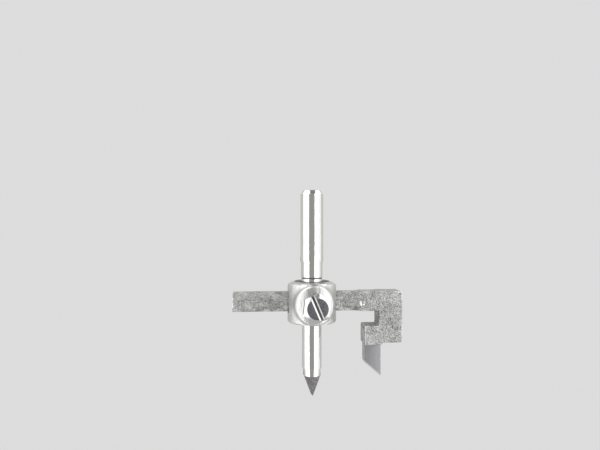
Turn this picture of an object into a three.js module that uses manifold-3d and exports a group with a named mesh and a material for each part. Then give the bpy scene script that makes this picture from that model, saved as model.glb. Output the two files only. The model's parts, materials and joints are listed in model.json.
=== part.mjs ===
// Circle cutter for tiles. A drill turns the shank, the pilot point holds the centre, and the
// blade on the sliding arm cuts the circle. Sizes are millimetres. The origin is the centre of
// the drive shank's end face, +Z runs up the spindle away from the pilot point, +X runs along
// the arm to the blade, and the clamp screw's head faces -Y.

import * as THREE from "three";
import { mergeVertices } from "three/addons/utils/BufferGeometryUtils.js";
import Module from "manifold-3d";

const wasm = await Module();
wasm.setup();

// Fits and facets
const seatGap = 0.3; // play between two pieces that touch on the real cutter
const cutOverrun = 2; // how far a cut runs past the face that it opens
const weldDistance = 0.0001; // corners nearer to each other than this are one
const roundSegments = 72;
const screwSegments = 48;
const dimpleSegments = 24;
const hexagonSides = 6;
const filletSteps = 5;
const brokenEdgeSteps = 2;
const bossRings = 6;

// Drive shank
const shankRadius = 4.75;
const shankLength = 28.6;
const shankEndRadius = 3.6;
const shankEndChamfer = 1.7;
const shankTaperLength = 1.6;
const neckRadius = 4.4;
const neckLength = 7.1;
const shankSeatDepth = 3.8;
const grooveRise = 1.1; // from the hub's top face up to the groove turned in the neck
const grooveWidth = 0.5;
const grooveDepth = 0.3;

// Hub
const hubRadius = 10;
const hubHeight = 16.6;
const hubTopFaceRadius = 7.3;
const hubShoulderHeight = 1.1;
const hubBottomChamfer = 0.5;
const bossRadius = 7.9;
const bossFaceReach = 13; // from the spindle's axis to the boss's front, which is round about it
const bossEdgeRadius = 0.8;
const crossHoleDrop = 8.4; // from the hub's top face down to the arm's axis
const crossHoleFillet = 0.6;

// Pilot rod and its carbide point
const pilotRadius = 4;
const pilotReach = 21.9; // below the hub's bottom face
const pilotSeatDepth = 3.5;
const pilotStepLength = 3.1;
const pilotStepRadius = 3.8;
const pilotEndRadius = 3.55;
const pointWidth = 6.9;
const pointThickness = 2.6;
const pointLength = 9; // below the rod's end, before the edges are ground back
const pointSeatDepth = 2.6; // up inside the rod's slot
const pointReliefDegrees = 10;

// Arm, a square cast bar whose edges are milled off as far as its C-shaped head
const barSize = 8;
const barChamfer = 2.3;
const barTailReach = 32.5; // from the spindle's axis to the bar's free end
const barSetback = 1.8; // of the bar's axis behind the radial plane that the blade's face lies in
const millReach = 17.2; // from the spindle's axis to where the milled edges start to run out
const millRadius = 4;
const headReach = 37.6; // from the spindle's axis to the head's outer face
const legWidth = 9.8;
const legDepth = 9; // from its front face, flush with the bar's, to its back
const notchHeight = 6.1;
const jawHeight = 7.1;
const jawLipHeight = 0.9; // how far the jaw drops lower round the blade
const jawReach = 6; // how far the jaw stands out from the leg
const headCornerRadius = 0.9;
const notchCornerRadius = 0.5;
const jawCornerRadius = 0.5;
const castEdge = 0.3;
const dimpleReach = 20.7; // from the spindle's axis to the dimple in the bar's front face
const dimpleDrop = 0.6; // below the bar's axis
const dimpleRadius = 1.7;
const dimpleDepth = 0.7;

// Blade and its pocket
const bladeWidth = 7.1;
const bladeThickness = 3.2;
const bladeTopDrop = 1.4; // from the jaw's top face down to the pocket's roof
const bladeTipDrop = 13.5; // from the jaw's lowest face down to the blade's tip
const bladeRise = 6; // how far the slanted edge climbs across the blade
const bladeReliefDegrees = 12;
const bladeLandWidth = 0.7;
const bladeLandDegrees = 45;

// Grub screw that locks the blade
const grubRadius = 2;
const grubLength = 3;
const grubChamfer = 0.35;
const grubSlotWidth = 0.8;
const grubSlotDepth = 0.9;
const grubDrop = 4.3; // from the jaw's top face down to the screw's axis

// Clamp screw of the arm
const clampRadius = 3;
const clampLength = 14; // from the tip to the underside of the head
const clampTipChamfer = 0.8;
const clampHeadFlats = 10;
const clampHeadHeight = 4;
const clampDiscRadius = 4.05;
const clampBevelHeight = 1;
const clampSlotWidth = 1.4;
const clampSlotDepth = 1.8;
const clampSlotChamfer = 0.35;
const clampSlotDegrees = -67; // turned from +X, seen from the front

// Places that follow from the sizes
const neckTopZ = -shankLength - shankTaperLength;
const hubTopZ = neckTopZ - neckLength;
const hubBottomZ = hubTopZ - hubHeight;
const armZ = hubTopZ - crossHoleDrop;
const crossHoleHalf = barSize / 2 + seatGap;
const pilotEndZ = hubBottomZ - pilotReach;
const headTopZ = armZ + barSize / 2;
const notchTopZ = armZ - barSize / 2;
const jawTopZ = notchTopZ - notchHeight;
const jawBottomZ = jawTopZ - jawHeight;
const jawLipZ = jawBottomZ - jawLipHeight;
const legInnerX = headReach - legWidth;
const jawInnerX = legInnerX - jawReach;
const bladeInnerX = jawInnerX;
const bladeOuterX = bladeInnerX + bladeWidth;
const bladeTopZ = jawTopZ - bladeTopDrop - seatGap;
const bladeTipZ = jawLipZ - bladeTipDrop;
const grubX = (bladeInnerX + bladeOuterX) / 2;
const grubZ = jawTopZ - grubDrop;
const grubTipY = bladeThickness + seatGap;
const clampTipY = barSetback - barSize / 2 - seatGap;

const radians = THREE.MathUtils.degToRad;

// A closed geometry as a solid that can be joined and cut
function solidOf(geometry) {
  const bare = geometry.clone();
  bare.deleteAttribute("normal");
  bare.deleteAttribute("uv");
  const merged = mergeVertices(bare, weldDistance);
  const corners = merged.index.array;
  const kept = [];
  for (let i = 0; i < corners.length; i += 3) {
    const [a, b, c] = corners.slice(i, i + 3);
    if (a !== b && b !== c && c !== a) {
      kept.push(a, b, c);
    }
  }
  return new wasm.Manifold(new wasm.Mesh({
    numProp: 3,
    vertProperties: new Float32Array(merged.attributes.position.array),
    triVerts: new Uint32Array(kept),
  }));
}

// A solid back as a flat-shaded geometry
function geometryOf(solid) {
  const mesh = solid.getMesh();
  const geometry = new THREE.BufferGeometry();
  geometry.setAttribute("position", new THREE.BufferAttribute(mesh.vertProperties, 3));
  geometry.setIndex(new THREE.BufferAttribute(mesh.triVerts, 1));
  const flat = geometry.toNonIndexed();
  flat.computeVertexNormals();
  return flat;
}

// A profile of [radius, height] pairs, from the bottom of the axis to its top, turned about Z
function turned(profile, segments = roundSegments) {
  const points = profile.map(([radius, height]) => new THREE.Vector2(radius, height));
  return new THREE.LatheGeometry(points, segments).rotateX(Math.PI / 2);
}

// A round bar along Z between two heights
function roundBar(radius, bottomZ, topZ, segments = roundSegments) {
  return turned([[0, bottomZ], [radius, bottomZ], [radius, topZ], [0, topZ]], segments);
}

// A block between two corners
function block(low, high) {
  const size = high.map((value, i) => value - low[i]);
  const middle = high.map((value, i) => (value + low[i]) / 2);
  return new THREE.BoxGeometry(...size).translate(...middle);
}

// A flat shape with its corners rounded, from [x, z, radius] triples in order
function roundedShape(corners) {
  const shape = new THREE.Shape();
  corners.forEach(([x, z, radius], i) => {
    const corner = new THREE.Vector2(x, z);
    const before = new THREE.Vector2(...corners.at(i - 1));
    const after = new THREE.Vector2(...corners[(i + 1) % corners.length]);
    const start = before.sub(corner).setLength(radius).add(corner);
    const end = after.sub(corner).setLength(radius).add(corner);
    if (i === 0) {
      shape.moveTo(start.x, start.y);
    } else {
      shape.lineTo(start.x, start.y);
    }
    if (radius > 0) {
      shape.quadraticCurveTo(x, z, end.x, end.y);
    }
  });
  shape.closePath();
  return shape;
}

// A shape in the XZ plane given depth along Y, centred on Y = 0, with its edges broken
function plate(shape, depth, edge = 0) {
  const geometry = new THREE.ExtrudeGeometry(shape, {
    depth: depth - 2 * edge,
    curveSegments: filletSteps,
    bevelEnabled: edge > 0,
    bevelThickness: edge,
    bevelSize: edge,
    bevelOffset: -edge,
    bevelSegments: brokenEdgeSteps,
  });
  return geometry.translate(0, 0, edge - depth / 2).rotateX(Math.PI / 2);
}

// Drive shank, turned from bar, with its narrower end pressed into the hub
function driveShank() {
  return turned([
    [0, hubTopZ - shankSeatDepth],
    [neckRadius, hubTopZ - shankSeatDepth],
    [neckRadius, hubTopZ + grooveRise],
    [neckRadius - grooveDepth, hubTopZ + grooveRise],
    [neckRadius - grooveDepth, hubTopZ + grooveRise + grooveWidth],
    [neckRadius, hubTopZ + grooveRise + grooveWidth],
    [neckRadius, neckTopZ],
    [shankRadius, -shankLength],
    [shankRadius, -shankEndChamfer],
    [shankEndRadius, 0],
    [0, 0],
  ]);
}

// The rounded edge at the top of a turned body, from its side in to its end face
function roundedRim(sideRadius, faceRadius, faceZ, depth) {
  const rim = [];
  for (let i = 0; i <= filletSteps; i += 1) {
    const angle = (i / filletSteps) * (Math.PI / 2);
    rim.push([
      faceRadius + (sideRadius - faceRadius) * Math.cos(angle),
      faceZ - depth * (1 - Math.sin(angle)),
    ]);
  }
  return rim;
}

// The hub's boss, a short cylinder along Z whose end is rounded about Y as the hub is about its axis
function boss() {
  const flatRadius = bossRadius - bossEdgeRadius;
  const rings = [];
  for (let i = bossRings - 1; i >= 0; i -= 1) {
    rings.push([flatRadius * (i / bossRings), bossFaceReach]);
  }
  const geometry = turned([
    [0, 0],
    [bossRadius, 0],
    ...roundedRim(bossRadius, flatRadius, bossFaceReach, bossEdgeRadius),
    ...rings,
  ]);
  const corners = geometry.attributes.position;
  for (let i = 0; i < corners.count; i += 1) {
    if (corners.getZ(i) > 0) {
      const fall = bossFaceReach - Math.sqrt(bossFaceReach ** 2 - corners.getX(i) ** 2);
      corners.setZ(i, corners.getZ(i) - fall);
    }
  }
  return geometry;
}

// Hub, a round body with a boss in front, crossed by the arm's hole
function hub() {
  const body = solidOf(turned([
    [0, hubBottomZ],
    [hubRadius - hubBottomChamfer, hubBottomZ],
    [hubRadius, hubBottomZ + hubBottomChamfer],
    ...roundedRim(hubRadius, hubTopFaceRadius, hubTopZ, hubShoulderHeight),
    [0, hubTopZ],
  ]));
  const front = solidOf(boss().rotateX(Math.PI / 2).translate(0, 0, armZ));
  const window = roundedShape([
    [-crossHoleHalf, -crossHoleHalf, crossHoleFillet],
    [crossHoleHalf, -crossHoleHalf, crossHoleFillet],
    [crossHoleHalf, crossHoleHalf, crossHoleFillet],
    [-crossHoleHalf, crossHoleHalf, crossHoleFillet],
  ]);
  const crossHole = solidOf(plate(window, 2 * (hubRadius + cutOverrun))
    .rotateZ(Math.PI / 2).translate(0, barSetback, armZ));
  const clampHole = solidOf(roundBar(clampRadius + seatGap, 0, bossFaceReach + cutOverrun, screwSegments)
    .rotateX(Math.PI / 2).translate(0, 0, armZ));
  const spindleBores = solidOf(turned([
    [0, hubBottomZ - cutOverrun],
    [pilotRadius + seatGap, hubBottomZ - cutOverrun],
    [pilotRadius + seatGap, armZ],
    [neckRadius + seatGap, armZ],
    [neckRadius + seatGap, hubTopZ + cutOverrun],
    [0, hubTopZ + cutOverrun],
  ]));
  return geometryOf(body.add(front).subtract(crossHole).subtract(clampHole).subtract(spindleBores));
}

// Pilot rod, pressed into the hub from below, with a slot for the carbide point
function pilotRod() {
  const rod = solidOf(turned([
    [0, pilotEndZ],
    [pilotEndRadius, pilotEndZ],
    [pilotStepRadius, pilotEndZ + pilotStepLength],
    [pilotRadius, pilotEndZ + pilotStepLength],
    [pilotRadius, hubBottomZ + pilotSeatDepth],
    [0, hubBottomZ + pilotSeatDepth],
  ]));
  const slotHalf = pointThickness / 2 + seatGap;
  const slot = solidOf(block(
    [-pilotRadius - cutOverrun, -slotHalf, pilotEndZ - cutOverrun],
    [pilotRadius + cutOverrun, slotHalf, pilotEndZ + pointSeatDepth + seatGap],
  ));
  return geometryOf(rod.subtract(slot));
}

// Carbide point, a spear-shaped plate ground back behind each cutting edge
function pilotPoint() {
  const tipZ = pilotEndZ - pointLength;
  const spear = new THREE.Shape([
    new THREE.Vector2(0, tipZ),
    new THREE.Vector2(pointWidth / 2, pilotEndZ),
    new THREE.Vector2(pointWidth / 2, pilotEndZ + pointSeatDepth),
    new THREE.Vector2(-pointWidth / 2, pilotEndZ + pointSeatDepth),
    new THREE.Vector2(-pointWidth / 2, pilotEndZ),
  ]);
  const slant = Math.atan2(pointLength, pointWidth / 2);
  let point = solidOf(plate(spear, pointThickness));
  for (const turn of [0, Math.PI]) {
    const relief = block([-pointLength, -pointWidth, -pointWidth], [2 * pointLength, pointWidth, 0])
      .rotateX(radians(pointReliefDegrees))
      .translate(0, -pointThickness / 2, 0)
      .rotateY(-slant)
      .translate(0, 0, tipZ)
      .rotateZ(turn);
    point = point.subtract(solidOf(relief));
  }
  return geometryOf(point);
}

// Cutter that mills off one long edge of the bar and leaves a rounded run-out, before it is turned
// about the bar's axis to its edge
function edgeMill() {
  const faceHeight = (barSize - barChamfer) / Math.SQRT2;
  const along = block(
    [-barTailReach - cutOverrun, -barSize, faceHeight],
    [millReach, barSize, faceHeight + 2 * millRadius],
  );
  const runOut = new THREE.CylinderGeometry(millRadius, millRadius, 2 * barSize, roundSegments)
    .translate(millReach, 0, faceHeight + millRadius);
  return solidOf(along).add(solidOf(runOut));
}

// Arm, the milled bar and the cast head with its notch, blade pocket and screw hole, made about the
// bar's own axis plane and then set back
function cutterArm() {
  const neckEndX = headReach - headCornerRadius;
  let bar = solidOf(plate(roundedShape([
    [-barTailReach, -barSize / 2, 0],
    [neckEndX, -barSize / 2, 0],
    [neckEndX, barSize / 2, 0],
    [-barTailReach, barSize / 2, 0],
  ]), barSize, castEdge));
  for (const quarter of [0, 1, 2, 3]) {
    bar = bar.subtract(edgeMill().rotate([45 + 90 * quarter, 0, 0]));
  }
  const leg = solidOf(plate(roundedShape([
    [legInnerX, headTopZ, notchCornerRadius],
    [legInnerX, jawTopZ, notchCornerRadius],
    [jawInnerX, jawTopZ, jawCornerRadius],
    [jawInnerX, jawLipZ, jawCornerRadius],
    [bladeOuterX, jawLipZ, jawCornerRadius],
    [bladeOuterX + jawLipHeight, jawBottomZ, jawCornerRadius],
    [headReach, jawBottomZ, headCornerRadius],
    [headReach, headTopZ, headCornerRadius],
  ]), legDepth, castEdge).translate(0, (legDepth - barSize) / 2, 0));
  const pocket = solidOf(block(
    [bladeInnerX - cutOverrun, -barSetback - seatGap, jawLipZ - cutOverrun],
    [bladeOuterX + seatGap, -barSetback + grubTipY, jawTopZ - bladeTopDrop],
  ));
  const grubHole = solidOf(roundBar(grubRadius + seatGap, 0, legDepth + cutOverrun, screwSegments)
    .rotateX(-Math.PI / 2).translate(grubX, 0, grubZ));
  const dimple = solidOf(new THREE.SphereGeometry(dimpleRadius, dimpleSegments, dimpleSegments / 2)
    .translate(dimpleReach, -barSize / 2 - dimpleRadius + dimpleDepth, armZ - dimpleDrop));
  const cast = bar.translate([0, 0, armZ]).add(leg);
  return geometryOf(cast.subtract(pocket).subtract(grubHole).subtract(dimple))
    .translate(0, barSetback, 0);
}

// Blade, a flat carbide bar with a slanted cutting edge, its tip on the outer side and its front
// face in the radial plane
function cutterBlade() {
  const outline = new THREE.Shape([
    new THREE.Vector2(bladeInnerX, bladeTipZ + bladeRise),
    new THREE.Vector2(bladeOuterX, bladeTipZ),
    new THREE.Vector2(bladeOuterX, bladeTopZ),
    new THREE.Vector2(bladeInnerX, bladeTopZ),
  ]);
  const slant = Math.atan2(bladeRise, bladeWidth);
  const relief = block([-2 * bladeWidth, -bladeWidth, -bladeWidth], [bladeWidth, 2 * bladeThickness, 0])
    .rotateX(radians(bladeReliefDegrees))
    .rotateY(slant)
    .translate(bladeOuterX, 0, bladeTipZ);
  const land = block([-2 * bladeWidth, -bladeWidth, -bladeWidth], [bladeWidth, bladeWidth, 0])
    .rotateX(radians(-bladeLandDegrees))
    .translate(0, 0, bladeLandWidth)
    .rotateY(slant)
    .translate(bladeOuterX, 0, bladeTipZ);
  const bar = solidOf(plate(outline, bladeThickness).translate(0, bladeThickness / 2, 0));
  return geometryOf(bar.subtract(solidOf(relief)).subtract(solidOf(land)));
}

// Grub screw in the jaw's rear wall, slotted at its outer end
function bladeGrub() {
  const body = solidOf(turned([
    [0, 0],
    [grubRadius - grubChamfer, 0],
    [grubRadius, grubChamfer],
    [grubRadius, grubLength - grubChamfer],
    [grubRadius - grubChamfer, grubLength],
    [0, grubLength],
  ], screwSegments));
  const slot = solidOf(block(
    [-grubRadius - cutOverrun, -grubSlotWidth / 2, grubLength - grubSlotDepth],
    [grubRadius + cutOverrun, grubSlotWidth / 2, grubLength + cutOverrun],
  ));
  return geometryOf(body.subtract(slot)).rotateX(-Math.PI / 2);
}

// Clamp screw, its chamfered hexagon crossed by a full-width slot with broken edges
function clampScrew() {
  const headTop = clampLength + clampHeadHeight;
  const cornerRadius = clampHeadFlats / Math.sqrt(3);
  const hexagon = turned([
    [0, clampLength],
    [cornerRadius, clampLength],
    [cornerRadius, headTop],
    [0, headTop],
  ], hexagonSides).rotateZ(radians(clampSlotDegrees));
  const bevelled = turned([
    [0, clampLength],
    [cornerRadius, clampLength],
    [cornerRadius, headTop - clampBevelHeight],
    [clampDiscRadius, headTop],
    [0, headTop],
  ]);
  const stem = turned([
    [0, 0],
    [clampRadius - clampTipChamfer, 0],
    [clampRadius, clampTipChamfer],
    [clampRadius, clampLength + clampHeadHeight / 2],
    [0, clampLength + clampHeadHeight / 2],
  ], screwSegments);
  const slotHalf = clampSlotWidth / 2;
  const slotEdge = slotHalf + clampSlotChamfer;
  const slotSection = new THREE.Shape([
    new THREE.Vector2(-slotHalf, headTop - clampSlotDepth),
    new THREE.Vector2(slotHalf, headTop - clampSlotDepth),
    new THREE.Vector2(slotHalf, headTop - clampSlotChamfer),
    new THREE.Vector2(slotEdge, headTop),
    new THREE.Vector2(slotEdge, headTop + cutOverrun),
    new THREE.Vector2(-slotEdge, headTop + cutOverrun),
    new THREE.Vector2(-slotEdge, headTop),
    new THREE.Vector2(-slotHalf, headTop - clampSlotChamfer),
  ]);
  const slot = plate(slotSection, 2 * (cornerRadius + cutOverrun))
    .rotateZ(radians(clampSlotDegrees) + Math.PI / 2);
  const head = solidOf(hexagon).intersect(solidOf(bevelled));
  return geometryOf(head.add(solidOf(stem)).subtract(solidOf(slot))).rotateX(Math.PI / 2);
}

// Finishes
function finish(color, roughness, metalness = 1) {
  return new THREE.MeshStandardMaterial({ color, roughness, metalness });
}
const polishedSteel = finish(0xd8d9da, 0.15);
const satinZinc = finish(0xc9cac6, 0.35);
const castZinc = finish(0xb4b3ad, 0.65);
const groundCarbide = finish(0x9c9b9f, 0.5);
const darkCarbide = finish(0x7c7a78, 0.7);
const dullSteel = finish(0x74747a, 0.4);

function piece(name, geometry, material) {
  const mesh = new THREE.Mesh(geometry, material);
  mesh.name = name;
  return mesh;
}

// Spindle, the pieces that turn as one with the drill
const spindle = new THREE.Group();
spindle.add(piece("drive_shank", driveShank(), polishedSteel));
spindle.add(piece("hub", hub(), satinZinc));
spindle.add(piece("pilot_rod", pilotRod(), polishedSteel));
spindle.add(piece("pilot_point", pilotPoint(), darkCarbide));

const clamp = piece("arm_clamp_screw", clampScrew(), dullSteel);
clamp.position.set(0, clampTipY, armZ);

// Arm, with what it carries
const arm = new THREE.Group();
arm.add(piece("cutter_arm", cutterArm(), castZinc));
arm.add(piece("cutter_blade", cutterBlade(), groundCarbide));

const grub = piece("blade_grub_screw", bladeGrub(), dullSteel);
grub.position.set(grubX, grubTipY, grubZ);
arm.add(grub);

const group = new THREE.Group();
group.add(spindle, clamp, arm);

export default group;
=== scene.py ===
# Circle cutter for tiles, dressed for a studio picture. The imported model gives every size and
# place; this file rebuilds each piece with its fine edges and gives it its finish. Units are metres.

import json
import math

import bmesh
import bpy
from mathutils import Matrix, Vector, noise


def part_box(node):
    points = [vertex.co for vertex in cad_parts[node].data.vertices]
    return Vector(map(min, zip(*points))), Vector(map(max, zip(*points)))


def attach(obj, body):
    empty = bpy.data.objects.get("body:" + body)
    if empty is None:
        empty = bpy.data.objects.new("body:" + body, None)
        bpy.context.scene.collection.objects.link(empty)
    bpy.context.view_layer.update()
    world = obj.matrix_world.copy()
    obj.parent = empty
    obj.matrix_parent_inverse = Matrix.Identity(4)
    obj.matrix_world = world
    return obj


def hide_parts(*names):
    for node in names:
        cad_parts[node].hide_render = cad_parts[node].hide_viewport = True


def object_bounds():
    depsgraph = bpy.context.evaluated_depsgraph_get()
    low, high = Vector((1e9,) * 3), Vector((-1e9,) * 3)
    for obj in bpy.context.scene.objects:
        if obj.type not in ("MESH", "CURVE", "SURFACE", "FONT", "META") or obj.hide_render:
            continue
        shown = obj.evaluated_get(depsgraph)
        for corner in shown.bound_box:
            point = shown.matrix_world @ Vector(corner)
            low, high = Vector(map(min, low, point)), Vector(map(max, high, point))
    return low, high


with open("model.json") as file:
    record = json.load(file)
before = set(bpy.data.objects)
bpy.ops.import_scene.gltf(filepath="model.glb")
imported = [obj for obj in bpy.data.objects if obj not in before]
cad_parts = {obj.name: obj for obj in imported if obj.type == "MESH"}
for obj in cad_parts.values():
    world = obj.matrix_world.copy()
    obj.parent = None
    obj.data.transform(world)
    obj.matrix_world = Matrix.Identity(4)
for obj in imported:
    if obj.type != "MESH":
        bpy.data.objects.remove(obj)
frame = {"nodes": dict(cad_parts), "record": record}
cad_low, cad_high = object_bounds()
mm = 0.001

# Camera, a little above the arm and turned five degrees about the spindle, as a hand camera
# held close. It looks almost level, so that the spindle stands upright in the picture.
PICTURE_WIDTH = 600
FOCAL_PIXELS = 484
SENSOR_WIDTH = 36
NEAREST_SEEN = 10 * mm
SPINDLE_DISTANCE = 200 * mm
SPINDLE_OFFSET = 4.88 * mm
CAMERA_HEIGHT = -16.3 * mm
CAMERA_YAW = math.radians(5)
CAMERA_PITCH = math.radians(0.6)


def placed(name, data):
    """A new object in the scene, from its data."""
    item = bpy.data.objects.new(name, data)
    bpy.context.scene.collection.objects.link(item)
    return item


camera_data = bpy.data.cameras.new("camera")
camera_data.sensor_width = SENSOR_WIDTH
camera_data.lens = SENSOR_WIDTH * FOCAL_PIXELS / PICTURE_WIDTH
camera_data.clip_start = NEAREST_SEEN
camera = placed("camera", camera_data)
camera.location = Matrix.Rotation(-CAMERA_YAW, 4, "Z") @ Vector(
    (-SPINDLE_OFFSET, -SPINDLE_DISTANCE, CAMERA_HEIGHT)
)
camera.rotation_euler = (math.pi / 2 + CAMERA_PITCH, 0, -CAMERA_YAW)
bpy.context.scene.camera = camera
bpy.context.scene.view_settings.view_transform = "Standard"

# Studio, a white paper floor under an even sky. Upright softboxes draw the white bands on the
# plated steel, and grey cards in front and low behind draw the dark lines between them. Panels
# overhead light the tops, with a dim one above the spindle. Cards and panels show only mirrored.
LAMP_MIDDLE = 230 * mm
SOFTBOX_HEIGHT = 960 * mm
STUDIO_GREY = 0.72
FLOOR_DROP = 180 * mm
FLOOR_REACH = 20
ROOF_HEIGHT = 250 * mm
ROOF_FRONT = -300 * mm
ROOF_BACK = 250 * mm
floor_z = cad_low[2] - FLOOR_DROP


def linear(colour):
    """An sRGB hex colour as linear red, green and blue, and an alpha of one."""
    channels = [int(colour[i:i + 2], 16) / 255 for i in (1, 3, 5)]
    return [c / 12.92 if c <= 0.04045 else ((c + 0.055) / 1.055) ** 2.4 for c in channels] + [1]


def add(tree, kind, settings=None, links=None, **attributes):
    """Adds a node, sets its attributes and input values, and links its inputs."""
    node = tree.nodes.new(kind)
    for name, value in attributes.items():
        setattr(node, name, value)
    for name, value in (settings or {}).items():
        node.inputs[name].default_value = value
    for name, source in (links or {}).items():
        tree.links.new(source, node.inputs[name])
    return node


def surface(name):
    """A material that holds nothing yet, and its node tree."""
    material = bpy.data.materials.new(name)
    material.use_nodes = True
    material.node_tree.nodes.clear()
    return material, material.node_tree


def mesh_piece(name, corners, faces):
    """A new object from its corners and faces."""
    mesh = bpy.data.meshes.new(name)
    mesh.from_pydata(corners, [], faces)
    return placed(name, mesh)


def stand(item, azimuth, distance, middle):
    """Stands a lamp or card round the spindle, facing it, its azimuth counted from the front to +X."""
    angle = math.radians(azimuth)
    item.location = (distance * math.sin(angle), -distance * math.cos(angle), middle)
    item.rotation_euler = (math.pi / 2, 0, angle)


def softbox(name, azimuth, distance, width, power):
    """A softbox that metal mirrors, and that neither shows itself nor marks the floor."""
    lamp_data = bpy.data.lights.new(name, "AREA")
    lamp_data.shape = "RECTANGLE"
    lamp_data.size = width
    lamp_data.size_y = SOFTBOX_HEIGHT
    lamp_data.energy = power
    lamp = placed(name, lamp_data)
    stand(lamp, azimuth, distance, LAMP_MIDDLE)
    lamp.visible_camera = False
    lamp.visible_diffuse = False


def reflector(name, corners, grey):
    """A flat panel that shows only in reflections."""
    item = mesh_piece(name, corners, [(0, 1, 2, 3)])
    material, tree = surface(name)
    shader = add(tree, "ShaderNodeEmission", {"Color": (grey,) * 3 + (1,)})
    add(tree, "ShaderNodeOutputMaterial", links={"Surface": shader.outputs[0]})
    item.data.materials.append(material)
    for ray in ("camera", "diffuse", "shadow", "transmission"):
        setattr(item, "visible_" + ray, False)
    return item


def card(name, azimuth, distance, width, low, high, grey):
    """An upright grey card that faces the spindle."""
    half_width = width / 2
    half_height = (high - low) / 2
    item = reflector(name, [
        (-half_width, -half_height, 0),
        (half_width, -half_height, 0),
        (half_width, half_height, 0),
        (-half_width, half_height, 0),
    ], grey)
    stand(item, azimuth, distance, (low + high) / 2)


def roof_panel(name, near_x, far_x, grey):
    """A level panel overhead."""
    reflector(name, [
        (near_x, ROOF_FRONT, ROOF_HEIGHT),
        (far_x, ROOF_FRONT, ROOF_HEIGHT),
        (far_x, ROOF_BACK, ROOF_HEIGHT),
        (near_x, ROOF_BACK, ROOF_HEIGHT),
    ], grey)


world = bpy.data.worlds.new("studio")
world.use_nodes = True
world.node_tree.nodes["Background"].inputs["Color"].default_value = (STUDIO_GREY,) * 3 + (1,)
bpy.context.scene.world = world

softbox("left_softbox", azimuth=-51.5, distance=200 * mm, width=119 * mm, power=0.59)
softbox("far_left_softbox", azimuth=-85, distance=200 * mm, width=123 * mm, power=0.3)
softbox("right_softbox", azimuth=45.75, distance=230 * mm, width=207 * mm, power=0.87)
softbox("far_right_softbox", azimuth=85, distance=230 * mm, width=123 * mm, power=0.2)

# White paper spreads the light evenly and has no gloss, so the floor fades into the sky.
floor = mesh_piece("paper_floor", [
    (-FLOOR_REACH, -FLOOR_REACH, floor_z),
    (FLOOR_REACH, -FLOOR_REACH, floor_z),
    (FLOOR_REACH, FLOOR_REACH, floor_z),
    (-FLOOR_REACH, FLOOR_REACH, floor_z),
], [(0, 1, 2, 3)])
paper, tree = surface("white_paper")
shader = add(tree, "ShaderNodeBsdfDiffuse", {"Color": linear("#ffffff")})
add(tree, "ShaderNodeOutputMaterial", links={"Surface": shader.outputs[0]})
floor.data.materials.append(paper)

card("front_card", azimuth=-6.75, distance=225 * mm, width=242 * mm,
     low=floor_z, high=200 * mm, grey=0.41)
card("back_card", azimuth=180, distance=225 * mm, width=165 * mm,
     low=floor_z, high=-40 * mm, grey=0.22)
roof_panel("left_roof_panel", near_x=-70 * mm, far_x=-400 * mm, grey=1.8)
roof_panel("right_roof_panel", near_x=110 * mm, far_x=400 * mm, grey=1.8)
roof_panel("middle_roof_panel", near_x=-70 * mm, far_x=110 * mm, grey=0.3)

# Drive shank, a round steel bar ground, polished and nickel plated. It is chamfered at its end
# and turned down to a neck with a narrow groove, which is pressed into the hub.
SHANK_END_RADIUS = 3.6 * mm
SHANK_CHAMFER = 1.7 * mm
SHANK_LENGTH = 28.6 * mm
SHANK_TAPER = 1.6 * mm
SHANK_EASE = 0.25 * mm
NECK_RADIUS = 4.4 * mm
GROOVE_RISE = 1.1 * mm
GROOVE_WIDTH = 0.5 * mm
GROOVE_DEPTH = 0.3 * mm
RING_FLATTENING = (0.12, 0.12, 1)
RING_STRENGTH = 0.5
STREAK_STRETCH = (1, 1, 0.3)
STREAK_SHIFT = (-4 * mm, 1 * mm, 9 * mm)
PATCH_SIZE = 4 * mm
GLOSSIEST = 0.8
DULLEST = 1.25


def modelled(name, mesh):
    """A new object from a mesh that is built up and now finished."""
    data = bpy.data.meshes.new(name)
    mesh.to_mesh(data)
    mesh.free()
    return placed(name, data)


def turned(name, profile, segments=192):
    """A closed body turned about the spindle's axis from [radius, height] pairs, bottom to top."""
    mesh = bmesh.new()
    turns = [2 * math.pi * i / segments for i in range(segments)]
    rings = []
    for radius, height in profile:
        if radius == 0:
            rings.append([mesh.verts.new((0, 0, height))] * segments)
        else:
            circle = [(radius * math.cos(a), radius * math.sin(a), height) for a in turns]
            rings.append([mesh.verts.new(corner) for corner in circle])
    for below, above in zip(rings, rings[1:]):
        for i in range(segments):
            j = (i + 1) % segments
            corners = list(dict.fromkeys((below[i], below[j], above[j], above[i])))
            mesh.faces.new(corners)
    return modelled(name, mesh)


def eased(profile, radius, steps=4, spare=2.5):
    """The profile with each corner off the axis rounded, as a polished or tumbled edge is.

    A rounding reaches along a side for at most the side's length divided by spare.
    """
    points = [Vector(p) for p in profile]
    result = [tuple(points[0])]
    for before, corner, after in zip(points, points[1:], points[2:]):
        reach = min(radius, (before - corner).length / spare, (after - corner).length / spare)
        start = corner + (before - corner).normalized() * reach
        end = corner + (after - corner).normalized() * reach
        for i in range(steps + 1):
            t = i / steps
            result.append(tuple(start * (1 - t) ** 2 + corner * 2 * t * (1 - t) + end * t ** 2))
    result.append(tuple(points[-1]))
    return result


def smooth(item, degrees=30):
    """Shades a piece smooth, but for its edges that turn more than this."""
    item.data.polygons.foreach_set("use_smooth", [True] * len(item.data.polygons))
    item.data.set_sharp_from_angle(angle=math.radians(degrees))


def settle(item, node, slot, *materials):
    """Gives a piece its materials and lets it stand for its CAD node, on that node's body."""
    for material in materials:
        item.data.materials.append(material)
    bodies = frame["record"]["behaviour"]["bodies"]
    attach(item, next(body for body, nodes in bodies.items() if node in nodes))
    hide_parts(node)


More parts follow.
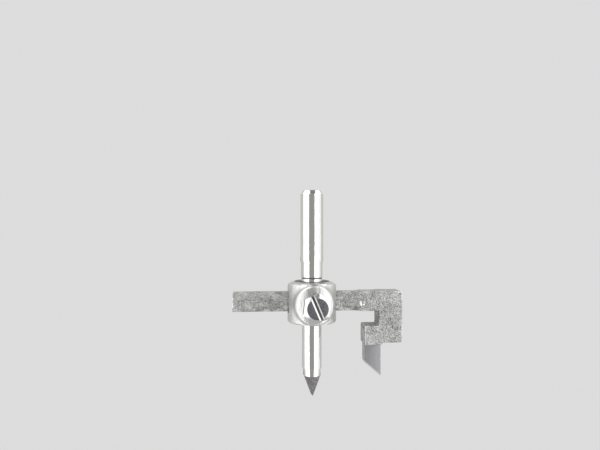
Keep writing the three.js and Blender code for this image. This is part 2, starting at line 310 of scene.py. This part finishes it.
def ringed_steel(name, colour, roughness, rings, streaks=None, wear=0, grazing_shade="#ffffff"):
    """A steel finish with fine rings round the spindle, as grinding, turning or polishing leaves.

    Rings and upright streaks are each given by their width and depth, and the streaks are shifted to
    fall as they do on the real piece. Wear dulls it in patches. The grazing shade is its colour at a
    flat angle, a painted shade for the tops of the rings hiding the metal between them.
    """
    material, tree = surface(name)
    place = add(tree, "ShaderNodeTexCoord").outputs["Object"]
    links = {}
    if streaks:
        upright = add(tree, "ShaderNodeMapping", {"Scale": STREAK_STRETCH, "Location": STREAK_SHIFT},
                      {"Vector": place})
        waves = add(tree, "ShaderNodeTexNoise", {"Scale": 1 / streaks[0], "Detail": 2},
                    {"Vector": upright.outputs[0]})
        relief = add(tree, "ShaderNodeBump", {"Distance": streaks[1]}, {"Height": waves.outputs[0]})
        links["Normal"] = relief.outputs[0]
    level = add(tree, "ShaderNodeMapping", {"Scale": RING_FLATTENING}, {"Vector": place})
    lines = add(tree, "ShaderNodeTexNoise", {"Scale": 1 / rings[0], "Detail": 3, "Roughness": 0.7},
                {"Vector": level.outputs[0]})
    bump = add(tree, "ShaderNodeBump", {"Strength": RING_STRENGTH, "Distance": rings[1]},
               {"Height": lines.outputs[0], **links})
    cloud = add(tree, "ShaderNodeTexNoise", {"Scale": 1 / PATCH_SIZE, "Detail": 4}, {"Vector": place})
    gloss = add(tree, "ShaderNodeMapRange",
                {"To Min": roughness * GLOSSIEST, "To Max": roughness * DULLEST + wear},
                {"Value": cloud.outputs[0]})
    shader = add(tree, "ShaderNodeBsdfPrincipled",
                 {"Base Color": linear(colour), "Metallic": 1, "Specular Tint": linear(grazing_shade)},
                 {"Roughness": gloss.outputs[0], "Normal": bump.outputs[0]})
    add(tree, "ShaderNodeOutputMaterial", links={"Surface": shader.outputs[0]})
    return material


shank_low, shank_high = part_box("drive_shank")
hub_low, hub_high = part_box("hub")
shank_radius = shank_high.x
groove_low = hub_high.z + GROOVE_RISE
groove_radius = NECK_RADIUS - GROOVE_DEPTH
drive_shank = turned("drive_shank_polished", eased([
    (0, shank_low.z),
    (NECK_RADIUS, shank_low.z),
    (NECK_RADIUS, groove_low),
    (groove_radius, groove_low),
    (groove_radius, groove_low + GROOVE_WIDTH),
    (NECK_RADIUS, groove_low + GROOVE_WIDTH),
    (NECK_RADIUS, -SHANK_LENGTH - SHANK_TAPER),
    (shank_radius, -SHANK_LENGTH),
    (shank_radius, -SHANK_CHAMFER),
    (SHANK_END_RADIUS, 0),
    (0, 0),
], SHANK_EASE))
smooth(drive_shank)

# Nickel plate on polished steel is nearly a mirror: it shows the studio as white and dark bands
# with slightly wavy edges. Its polishing lines are far finer than a pixel, so they are drawn
# 0.18 mm wide, and the waves that polishing leaves along the bar are 0.6 mm wide.
nickel = ringed_steel("polished_nickel_plate", "#d9d8d4", roughness=0.1,
                      rings=(0.18 * mm, 0.002 * mm), streaks=(0.6 * mm, 0.015 * mm))

# The groove's floor is a dull dark grey, a painted shade that draws a dark line across the bright
# bands, with turning marks drawn as wide as the polishing lines.
groove_painted_shade = ringed_steel("groove_painted_shade_steel", "#737377", roughness=0.5,
                          rings=(0.18 * mm, 0.002 * mm))
# Faces on the groove's floor take the painted shade.
for face in drive_shank.data.polygons:
    in_groove = 0 < face.center.z - groove_low < GROOVE_WIDTH
    face.material_index = int(in_groove and face.center.xy.length < NECK_RADIUS - GROOVE_DEPTH / 2)
settle(drive_shank, "drive_shank", "polished_steel", nickel, groove_painted_shade)

# Hub, a turned steel body with a coned shoulder and a round boss in front, whose foot runs out
# softly. It is bored for both halves of the spindle and crossed by the arm's square hole. It is
# zinc plated, bright but not polished.
HUB_TOP_RADIUS = 7.3 * mm
HUB_SHOULDER = 1.1 * mm
HUB_BOTTOM_CHAMFER = 0.5 * mm
HUB_TOP_FACING = 0.99
BOSS_RADIUS = 7.9 * mm
BOSS_EDGE_RADIUS = 0.9 * mm
BOSS_FILLET = 1.4 * mm
BOSS_SINK = 0.02 * mm
BOSS_ROOM = 8.1 * mm
BOSS_RINGS = 16
BORE_SEGMENTS = 96
ARM_DROP = 8.4 * mm
SEAT_GAP = 0.3 * mm
CLOSE_GAP = SEAT_GAP / 3
BAR_SIZE = 8 * mm
BAR_SETBACK = 1.8 * mm
CLAMP_RADIUS = 3 * mm
PILOT_RADIUS = 4 * mm
hub_radius = hub_high.x
arm_z = hub_high.z - ARM_DROP


def apply_modifiers(item):
    """Makes a piece's modifiers part of its mesh."""
    bpy.context.view_layer.update()
    graph = bpy.context.evaluated_depsgraph_get()
    old = item.data
    item.data = bpy.data.meshes.new_from_object(item.evaluated_get(graph))
    item.modifiers.clear()
    bpy.data.meshes.remove(old)


def combine(item, tool, operation="DIFFERENCE"):
    """Cuts the tool out of a piece, or joins it on, and takes the tool away."""
    modifier = item.modifiers.new("combine", "BOOLEAN")
    modifier.operation = operation
    modifier.solver = "EXACT"
    modifier.object = tool
    apply_modifiers(item)
    bpy.data.objects.remove(tool)


def bar_tool(name, size, place):
    """A block to cut with, given by its size and middle."""
    mesh = bmesh.new()
    bmesh.ops.create_cube(mesh, size=1, matrix=Matrix.LocRotScale(Vector(place), None, Vector(size)))
    return modelled(name, mesh)


def lay_down(item, middle, angle=math.pi / 2):
    """Lays an upright piece on its side. A quarter turn brings its top to the front."""
    item.data.transform(Matrix.Translation(middle) @ Matrix.Rotation(angle, 4, "X"))


def rounded_rim(side, face, face_z, depth, steps=12):
    """The rounded edge of a turned body, from its side in to its end face."""
    turns = [math.pi / 2 * i / steps for i in range(steps + 1)]
    return [(face + (side - face) * math.cos(a), face_z - depth * (1 - math.sin(a))) for a in turns]


def fall(radius, x):
    """How far a cylinder's surface lies behind its front line, at this distance beside it."""
    return radius - math.sqrt(radius ** 2 - x ** 2)


hub = turned("hub_body", [
    *eased([
        (0, hub_low.z),
        (hub_radius - HUB_BOTTOM_CHAMFER, hub_low.z),
        (hub_radius, hub_low.z + HUB_BOTTOM_CHAMFER),
        (hub_radius, hub_high.z - HUB_SHOULDER),
        (HUB_TOP_RADIUS, hub_high.z),
    ], HUB_SHOULDER, steps=8),
    (0, hub_high.z),
])
boss_reach = -hub_low.y
flat_radius = BOSS_RADIUS - BOSS_EDGE_RADIUS
foot_radius = BOSS_RADIUS + BOSS_FILLET
foot = rounded_rim(BOSS_RADIUS, foot_radius, hub_radius - BOSS_SINK, -BOSS_FILLET)
boss = turned("boss", [
    (0, 0),
    (foot_radius, 0),
    *reversed(foot),
    *rounded_rim(BOSS_RADIUS, flat_radius, boss_reach, BOSS_EDGE_RADIUS),
    *[(flat_radius * i / BOSS_RINGS, boss_reach) for i in reversed(range(BOSS_RINGS))],
])

# The boss is bent to its place: its foot follows the hub's round wall and its face is crowned.
# The fillet at its foot is narrower above and below, where the hub's ends are near.
wall_low = hub_radius + BOSS_FILLET
wall_high = boss_reach - BOSS_EDGE_RADIUS
for vertex in boss.data.vertices:
    x, y, height = vertex.co
    reach = math.hypot(x, y)
    if reach > BOSS_RADIUS:
        room = BOSS_ROOM * reach / max(abs(y), BOSS_SINK) - BOSS_RADIUS
        drawn_in = (BOSS_RADIUS + (reach - BOSS_RADIUS) * min(1, room / BOSS_FILLET)) / reach
        x *= drawn_in
        y *= drawn_in
    if height > 0:
        share = min(1, max(0, (height - wall_low) / (wall_high - wall_low)))
        height -= (1 - share) * fall(hub_radius, x) + share * fall(boss_reach, x)
    vertex.co = (x, y, height)
lay_down(boss, (0, 0, arm_z))
combine(hub, boss, "UNION")

hole = BAR_SIZE + 2 * SEAT_GAP
combine(hub, bar_tool("cross_hole", (3 * hub_radius, hole, hole), (0, BAR_SETBACK, arm_z)))
screw_hole = turned("screw_hole", [
    (0, 0),
    (CLAMP_RADIUS + SEAT_GAP, 0),
    (CLAMP_RADIUS + SEAT_GAP, 2 * hub_radius),
    (0, 2 * hub_radius),
], BORE_SEGMENTS)
lay_down(screw_hole, (0, 0, arm_z))
combine(hub, screw_hole)
combine(hub, turned("bores", [
    (0, hub_low.z - hub_radius),
    (PILOT_RADIUS + SEAT_GAP, hub_low.z - hub_radius),
    (PILOT_RADIUS + SEAT_GAP, arm_z),
    (NECK_RADIUS + CLOSE_GAP, arm_z),
    (NECK_RADIUS + CLOSE_GAP, hub_high.z + hub_radius),
    (0, hub_high.z + hub_radius),
], BORE_SEGMENTS))
smooth(hub)

# Satin zinc plate over turned steel shows the softboxes as wide bands with blurred, streaky
# edges. Turning marks and streaks are finer than a pixel on the real one, so they are drawn
# 0.4 mm and 1.2 mm wide.
satin_zinc = ringed_steel("satin_zinc_plate", "#c6c7c5", roughness=0.38, wear=0.06,
                          rings=(0.4 * mm, 0.05 * mm), streaks=(1.2 * mm, 0.2 * mm))

# The same plate on the faced top is painted a darker grey, a painted shade for the dark line under the
# neck, where the top is seen almost edge on. Its marks are drawn 0.4 mm wide too.
top_plate_painted_shade = ringed_steel("faced_zinc_painted_shade", "#9c9d9b", roughness=0.2,
                          rings=(0.4 * mm, 0.004 * mm), grazing_shade="#a4a4a4")
# Faces on the top take the painted shade.
for face in hub.data.polygons:
    on_top = face.normal.z > HUB_TOP_FACING and face.center.z > hub_high.z - HUB_SHOULDER
    face.material_index = int(on_top)
settle(hub, "hub", "satin_zinc", satin_zinc, top_plate_painted_shade)

# Pilot rod, ground, polished and nickel plated as the shank is, and pressed into the hub. Its
# end is stepped and tapered and has a slot across, in which the carbide point is brazed.
STEP_RADIUS = 3.8 * mm
STEP_LENGTH = 3.1 * mm
ROD_END_RADIUS = 3.55 * mm
ROD_EASE = 0.05 * mm
POINT_THICKNESS = 2.6 * mm
POINT_SEAT = 2.6 * mm
rod_low, rod_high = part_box("pilot_rod")
pilot_rod = turned("pilot_rod_polished", eased([
    (0, rod_low.z),
    (ROD_END_RADIUS, rod_low.z),
    (STEP_RADIUS, rod_low.z + STEP_LENGTH),
    (PILOT_RADIUS, rod_low.z + STEP_LENGTH),
    (PILOT_RADIUS, rod_high.z),
    (0, rod_high.z),
], ROD_EASE))
slot_size = (3 * PILOT_RADIUS, POINT_THICKNESS + CLOSE_GAP, 2 * (POINT_SEAT + SEAT_GAP))
combine(pilot_rod, bar_tool("point_slot", slot_size, (0, 0, rod_low.z)))
smooth(pilot_rod)
settle(pilot_rod, "pilot_rod", "polished_steel", nickel)

# Carbide point, a spear-shaped plate pressed from powder and sintered, ground only at its edges
# and brazed into the rod's slot.
POINT_EDGE = 0.06 * mm
WELD_REACH = 0.002 * mm
FLAT_ANGLE = math.radians(0.5)
GRAIN_RAMP = (0.4, 0.6)
GRAIN_STRENGTH = 0.7
GLOSS_SPREAD = 0.12
GRAINS_TO_PATCH = 12
PATCH_SHARE = 0.15


def copied(node, name):
    """The CAD node's own shape as a new piece, with its flat faces whole again."""
    mesh = bmesh.new()
    mesh.from_mesh(frame["nodes"][node].data)
    bmesh.ops.remove_doubles(mesh, verts=mesh.verts, dist=WELD_REACH)
    bmesh.ops.dissolve_limit(mesh, angle_limit=FLAT_ANGLE, verts=mesh.verts, edges=mesh.edges)
    return modelled(name, mesh)


def break_edges(item, width, segments=3, degrees=25):
    """Rounds the sharp edges of a piece."""
    modifier = item.modifiers.new("edges", "BEVEL")
    modifier.width = width
    modifier.segments = segments
    modifier.limit_method = "ANGLE"
    modifier.angle_limit = math.radians(degrees)
    apply_modifiers(item)


def grainy_metal(name, colours, roughness, grain, depth):
    """A metal surface with a grain of this width, from its dark to its light colour."""
    material, tree = surface(name)
    place = add(tree, "ShaderNodeTexCoord").outputs["Object"]
    fine = add(tree, "ShaderNodeTexNoise", {"Scale": 1 / grain, "Detail": 5, "Roughness": 0.65},
               {"Vector": place})
    broad = add(tree, "ShaderNodeTexNoise", {"Scale": 1 / (GRAINS_TO_PATCH * grain), "Detail": 3},
                {"Vector": place})
    mixed = add(tree, "ShaderNodeMix", {"Factor": PATCH_SHARE},
                {"A": fine.outputs[0], "B": broad.outputs[0]})
    colour = add(tree, "ShaderNodeValToRGB", links={"Fac": mixed.outputs[0]})
    for stop, position, shade in zip(colour.color_ramp.elements, GRAIN_RAMP, colours):
        stop.position = position
        stop.color = linear(shade)
    gloss = add(tree, "ShaderNodeMapRange",
                {"To Min": roughness - GLOSS_SPREAD, "To Max": roughness + GLOSS_SPREAD},
                {"Value": fine.outputs[0]})
    bump = add(tree, "ShaderNodeBump", {"Strength": GRAIN_STRENGTH, "Distance": depth},
               {"Height": fine.outputs[0]})
    shader = add(tree, "ShaderNodeBsdfPrincipled", {"Metallic": 1}, {
        "Base Color": colour.outputs[0],
        "Roughness": gloss.outputs[0],
        "Normal": bump.outputs[0],
    })
    add(tree, "ShaderNodeOutputMaterial", links={"Surface": shader.outputs[0]})
    return material


pilot_point = copied("pilot_point", "pilot_point_carbide")
break_edges(pilot_point, POINT_EDGE)
smooth(pilot_point)

# Carbide as it comes from the furnace is dark grey with a faint sparkle. Its grain is a few
# thousandths of a millimetre, so it is drawn 0.35 mm wide to show at all.
sintered = grainy_metal("sintered_carbide", ("#6a6869", "#9d9a9d"), roughness=0.5,
                        grain=0.35 * mm, depth=0.03 * mm)
settle(pilot_point, "pilot_point", "dark_carbide", sintered)

# Arm, cast in a sand mould with its C-shaped head, milled along its four long edges and zinc
# plated. The clamp screw holds it in the hub's square hole. A round mark is punched in its
# front, next to the head.
CAST_FACET = 0.19 * mm
SKIN_DEPTH = 0.03 * mm
SKIN_LUMP = 2.5 * mm
DIMPLE_REACH = 20.7 * mm
DIMPLE_DROP = 0.6 * mm
DIMPLE_RADIUS = 1.5 * mm
DIMPLE_START = 0.1 * mm
RUBBED_ROUGHNESS = 0.38
RUBBED_HIGHLIGHT_PATCH = 3.6 * mm
PATCH_RANGE = {"From Min": 0.4, "From Max": 0.62}
CORNER_RANGE = {"From Min": 0.51, "From Max": 0.54}


def cast_skin(item, facet, depth, lump):
    """Gives a piece the soft corners of a casting and its uneven skin, in lumps of two sizes."""
    remesh = item.modifiers.new("skin", "REMESH")
    remesh.mode = "VOXEL"
    remesh.voxel_size = facet
    ease = item.modifiers.new("ease", "SMOOTH")
    ease.iterations = 1
    apply_modifiers(item)
    outward = [vertex.normal.copy() for vertex in item.data.vertices]
    for vertex, normal in zip(item.data.vertices, outward):
        unevenness = noise.noise(vertex.co / lump) + 0.5 * noise.noise(3 * vertex.co / lump)
        vertex.co += normal * depth * unevenness


def rub_and_highlight_corners(material, colour, roughness, patch):
    """Makes the sharp corners of a piece smooth, as rubbing does, and paints them bright as a painted
    highlight, in patches of this width.
    """
    tree = material.node_tree
    shader = tree.nodes["Principled BSDF"]
    place = add(tree, "ShaderNodeTexCoord").outputs["Object"]
    corner = add(tree, "ShaderNodeNewGeometry").outputs["Pointiness"]
    convex = add(tree, "ShaderNodeMapRange", CORNER_RANGE, {"Value": corner})
    cloud = add(tree, "ShaderNodeTexNoise", {"Scale": 1 / patch, "Detail": 3}, {"Vector": place})
    patches = add(tree, "ShaderNodeMapRange", PATCH_RANGE, {"Value": cloud.outputs[0]})
    worn_highlight = add(tree, "ShaderNodeMath", links={0: convex.outputs[0], 1: patches.outputs[0]},
               operation="MULTIPLY")
    changes = [("Base Color", linear(colour), "RGBA"), ("Roughness", roughness, "FLOAT")]
    for socket, rubbed_highlight, kind in changes:
        skin = shader.inputs[socket].links[0].from_socket
        mixed = add(tree, "ShaderNodeMix", {"B": rubbed_highlight}, {"Factor": worn_highlight.outputs[0], "A": skin},
                    data_type=kind)
        tree.links.new(mixed.outputs["Result"], shader.inputs[socket])


cutter_arm = copied("cutter_arm", "cutter_arm_cast")
cast_skin(cutter_arm, CAST_FACET, SKIN_DEPTH, SKIN_LUMP)
smooth(cutter_arm, degrees=60)
dimple_middle = Vector((DIMPLE_REACH, arm_z - DIMPLE_DROP))
# Faces in the punched mark take its painted highlight.
for face in cutter_arm.data.polygons:
    from_middle = (face.center.xz - dimple_middle).length
    depth = face.center.y - BAR_SETBACK + BAR_SIZE / 2
    face.material_index = int(from_middle < DIMPLE_RADIUS and DIMPLE_START < depth < DIMPLE_RADIUS)

# Zinc plate over a sand-cast skin is speckled light and dark, and its corners are rubbed smooth and
# painted bright in patches, a painted highlight along the edges. The speckle is as wide as a grain of
# moulding sand, 0.3 mm.
cast_zinc = grainy_metal("zinc_plated_casting", ("#60605e", "#d6d6d4"), roughness=0.66,
                         grain=0.3 * mm, depth=0.05 * mm)
rub_and_highlight_corners(cast_zinc, "#e4e4e2", RUBBED_ROUGHNESS, RUBBED_HIGHLIGHT_PATCH)

# The punch has pressed the skin smooth, so the mark is an even grey, with only a trace of the same
# speckle; its brighter grey is a painted highlight.
punched = grainy_metal("punched_mark_painted_highlight", ("#b9bab8", "#d2d3d0"), roughness=0.3,
                       grain=0.3 * mm, depth=0.004 * mm)
settle(cutter_arm, "cutter_arm", "cast_zinc", cast_zinc, punched)

# Blade, a flat carbide bar ground on its faces and to a slanted edge, with a narrow land in
# front of the edge that shines. It lies in the head's open pocket, and is set down as it wears.
BLADE_EDGE = 0.05 * mm
BLADE_FACE_FACING = 0.98
cutter_blade = copied("cutter_blade", "cutter_blade_ground")
break_edges(cutter_blade, BLADE_EDGE)
smooth(cutter_blade)
# Faces other than the two broad ones take the painted highlight.
for face in cutter_blade.data.polygons:
    face.material_index = int(abs(face.normal.y) < BLADE_FACE_FACING)

# A ground carbide face is an even, matt grey. The wheel's marks are finer than a pixel, so the
# grain is drawn 0.2 mm wide.
ground_carbide = grainy_metal("ground_carbide", ("#878689", "#a2a1a4"), roughness=0.55,
                              grain=0.2 * mm, depth=0.006 * mm)

# The land and the sides are lapped after grinding and shine; their lighter grey is a painted
# highlight. Their grain is drawn as wide.
lapped_carbide_painted_highlight = grainy_metal("lapped_carbide_painted_highlight", ("#c4c4c7", "#dededf"), roughness=0.35,
                              grain=0.2 * mm, depth=0.004 * mm)
settle(cutter_blade, "cutter_blade", "ground_carbide", ground_carbide, lapped_carbide_painted_highlight)

# Blade's grub screw, M4 with a screwdriver slot, in the back of the head. It is cut with a
# coarse die, and its thread fills the tapped hole.
GRUB_SLOT_WIDTH = 0.8 * mm
GRUB_SLOT_DEPTH = 0.9 * mm
GRUB_PITCH = 0.7 * mm
GRUB_CHAMFER = 0.35 * mm
THREAD_DEPTH = 0.6
FLANK_STEEPNESS = 1.15


def threaded(name, radius, length, pitch, chamfer, segments=64, rows_per_turn=10):
    """A closed screw stem along Z from its tip, with a V thread that runs out at both ends."""
    depth = THREAD_DEPTH * pitch
    rows = round(length / pitch * rows_per_turn)
    corners = []
    for row in range(rows + 1):
        height = length * row / rows
        run_out = min(1, height / pitch, (length - height) / pitch)
        for i in range(segments):
            flank = abs(2 * ((height / pitch - i / segments) % 1) - 1)
            turn = 2 * math.pi * i / segments
            reach = radius - depth * min(1, FLANK_STEEPNESS * flank) * run_out
            reach = min(reach, radius - chamfer + height, radius - chamfer + length - height)
            corners.append((reach * math.cos(turn), reach * math.sin(turn), height))
    faces = [tuple(reversed(range(segments))), tuple(range(rows * segments, (rows + 1) * segments))]
    for row in range(rows):
        low = row * segments
        for i in range(segments):
            j = (i + 1) % segments
            faces.append((low + i, low + j, low + segments + j, low + segments + i))
    return mesh_piece(name, corners, faces)


grub_low, grub_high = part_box("blade_grub_screw")
grub_radius = (grub_high.x - grub_low.x) / 2
grub_length = grub_high.y - grub_low.y
blade_grub = threaded("blade_grub_steel", grub_radius, grub_length, GRUB_PITCH, GRUB_CHAMFER)
slot_size = (3 * grub_radius, GRUB_SLOT_WIDTH, 2 * GRUB_SLOT_DEPTH)
combine(blade_grub, bar_tool("grub_slot", slot_size, (0, 0, grub_length)))
grub_place = Vector(((grub_low.x + grub_high.x) / 2, grub_low.y, (grub_low.z + grub_high.z) / 2))
lay_down(blade_grub, grub_place, angle=-math.pi / 2)
smooth(blade_grub)

# Steel gone dull is a dark grey that hardly mirrors the studio; on the clamp screw the same grey is
# painted shade. Its fine pitting is drawn 0.4 mm wide to show.
dull_steel = grainy_metal("dull_screw_steel_and_painted_shade", ("#66666b", "#86868b"), roughness=0.4,
                          grain=0.4 * mm, depth=0.006 * mm)
settle(blade_grub, "blade_grub_screw", "dull_steel", dull_steel)

# Clamp screw, M6 with a chamfered hexagon and a slot right across, whose edges are broken more
# on one side than on the other. It is threaded up to its head and screwed into the hub's boss.
# The top face, the slot's floor and the left side are painted a dull dark grey, a painted shade, and
# the rest is bright.
CLAMP_FLATS = 10 * mm
CLAMP_HEAD_HEIGHT = 4 * mm
CLAMP_DISC_RADIUS = 4.05 * mm
CLAMP_BEVEL_HEIGHT = 1 * mm
CLAMP_EDGE = 0.08 * mm
CLAMP_SLOT_WIDTH = 0.9 * mm
CLAMP_SLOT_DEPTH = 1.8 * mm
CLAMP_SLOT_ANGLE = math.radians(-67)
LOWER_BREAK_WIDTH = 0.55 * mm
LOWER_BREAK_DEPTH = 0.31 * mm
UPPER_BREAK_WIDTH = 0.5 * mm
UPPER_BREAK_DEPTH = 0.54 * mm
CLAMP_PITCH = 1 * mm
CLAMP_TIP_CHAMFER = 0.8 * mm
CLAMP_STEM_SINK = CLAMP_HEAD_HEIGHT / 4
CLAMP_TOP_FACING = 0.95
CLAMP_SIDE_FACING = 0.9
CLAMP_SIDE_REACH = 0.45 * CLAMP_FLATS


def join(item, other):
    """Makes another piece's mesh part of this one."""
    mesh = bmesh.new()
    mesh.from_mesh(item.data)
    mesh.from_mesh(other.data)
    mesh.to_mesh(item.data)
    mesh.free()
    bpy.data.objects.remove(other)


clamp_low, clamp_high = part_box("arm_clamp_screw")
head_top = clamp_high.y - clamp_low.y
stem_length = head_top - CLAMP_HEAD_HEIGHT
corner_radius = CLAMP_FLATS / math.sqrt(3)
clamp_screw = turned("clamp_screw_steel", [
    (0, stem_length),
    (corner_radius, stem_length),
    (corner_radius, head_top - CLAMP_BEVEL_HEIGHT),
    (CLAMP_DISC_RADIUS, head_top),
    (0, head_top),
])
hexagon = turned("hexagon", [
    (0, stem_length),
    (corner_radius, stem_length),
    (corner_radius, head_top),
    (0, head_top),
], segments=6)
hexagon.data.transform(Matrix.Rotation(CLAMP_SLOT_ANGLE + math.pi / 6, 4, "Z"))
combine(clamp_screw, hexagon, "INTERSECT")

# The slot is cut with its broken edges in one go, by a long bar of this section.
slot_half = CLAMP_SLOT_WIDTH / 2
slot_section = [
    (-slot_half, -CLAMP_SLOT_DEPTH),
    (slot_half, -CLAMP_SLOT_DEPTH),
    (slot_half, -UPPER_BREAK_DEPTH),
    (slot_half + UPPER_BREAK_WIDTH, 0),
    (slot_half + UPPER_BREAK_WIDTH, head_top),
    (-slot_half - LOWER_BREAK_WIDTH, head_top),
    (-slot_half - LOWER_BREAK_WIDTH, 0),
    (-slot_half, -LOWER_BREAK_DEPTH),
]
sides = len(slot_section)
slot_cut = mesh_piece("slot", [
    (end * 2 * corner_radius, across, head_top + height)
    for end in (-1, 1) for across, height in slot_section
], [
    tuple(reversed(range(sides))),
    tuple(range(sides, 2 * sides)),
    *[(i, (i + 1) % sides, sides + (i + 1) % sides, sides + i) for i in range(sides)],
])
slot_cut.data.transform(Matrix.Rotation(CLAMP_SLOT_ANGLE, 4, "Z"))
combine(clamp_screw, slot_cut)
break_edges(clamp_screw, CLAMP_EDGE)
smooth(clamp_screw)
# The top face, the slot's floor and the left side take the painted shade.
for face in clamp_screw.data.polygons:
    on_left_side = face.normal.x < -CLAMP_SIDE_FACING and face.center.xy.length > CLAMP_SIDE_REACH
    face.material_index = int(face.normal.z > CLAMP_TOP_FACING or on_left_side)

stem = threaded("stem", CLAMP_RADIUS, stem_length + CLAMP_STEM_SINK, CLAMP_PITCH, CLAMP_TIP_CHAMFER)
smooth(stem)
join(clamp_screw, stem)
lay_down(clamp_screw, (0, clamp_high.y, arm_z))

# Zinc plate that keeps its shine catches the softboxes along the slot's edges and the bevel, as
# thin bright lines. Its grain is drawn 0.3 mm wide to show.
bright_zinc = grainy_metal("bright_screw_plating", ("#b9bab8", "#d2d3d0"), roughness=0.24,
                           grain=0.3 * mm, depth=0.004 * mm)
settle(clamp_screw, "arm_clamp_screw", "dull_steel", bright_zinc, dull_steel)
